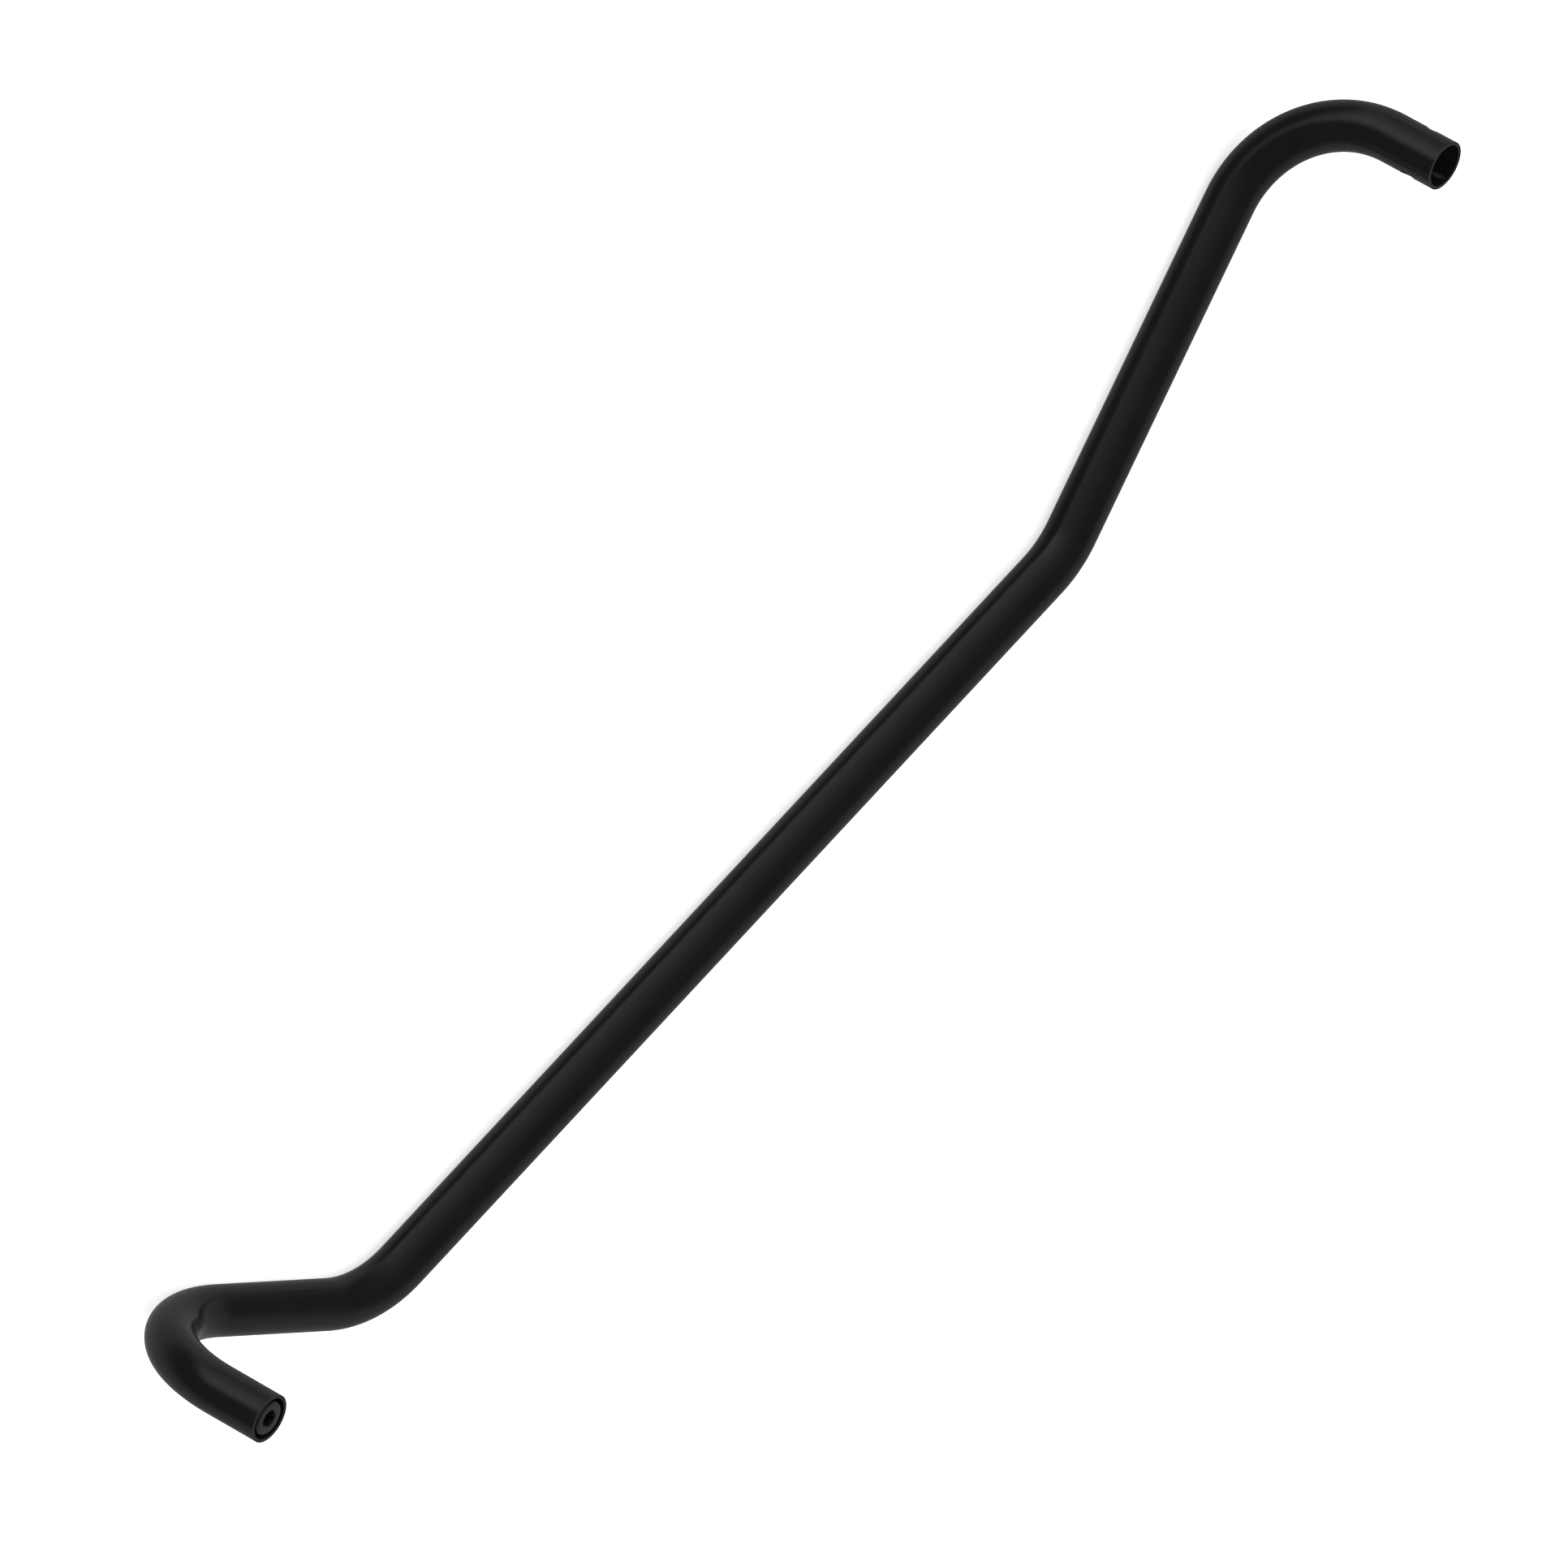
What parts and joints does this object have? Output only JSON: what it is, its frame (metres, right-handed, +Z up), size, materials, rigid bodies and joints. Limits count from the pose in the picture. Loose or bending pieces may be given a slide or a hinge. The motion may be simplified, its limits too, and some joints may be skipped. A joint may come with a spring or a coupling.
{
  "type": "sway bar",
  "caption": "Bent tubular steel sway bar with short turned-up stubs: a hex-socket screw sits flush in one open end, and a pin hole crosses the other.",
  "frame": {"origin": "On the surface that the bar lies on, under the middle of its bounding box.", "axes": "+Z up; +X along the long straight run, towards the end with the screw; both legs turn towards -Y and both stubs rise, leaning towards +Y."},
  "size_m": [0.8918, 0.129, 0.1208],
  "materials": {
    "satin_black_powder_coat": "satin black powder coat on drawn steel tube",
    "turned_steel": "turned, lightly oiled",
    "spring_steel": "hardened and phosphated",
    "black_oxide_steel": "black oxide, oiled"
  },
  "bodies": {
    "bar": {"bar_tube": "satin_black_powder_coat", "threaded_bung": "turned_steel"},
    "washer": {"lock_washer": "spring_steel"},
    "screw": {"end_screw": "black_oxide_steel"}
  },
  "joints": [
    {"name": "screw_lift", "type": "slide", "parent": "bar", "child": "washer", "axis": [-0.0555, 0.2867, 0.9564], "range_m": [0, 0.021]},
    {"name": "screw_turn", "type": "hinge", "parent": "washer", "child": "screw", "pos_m": [0.43146, -0.03923, 0.11712], "axis": [-0.0555, 0.2867, 0.9564], "range_deg": [0, 4320]}
  ],
  "couplings": [
    {"joint": "screw_turn", "follows": "screw_lift", "rad_per_m": 3590.4}
  ]
}
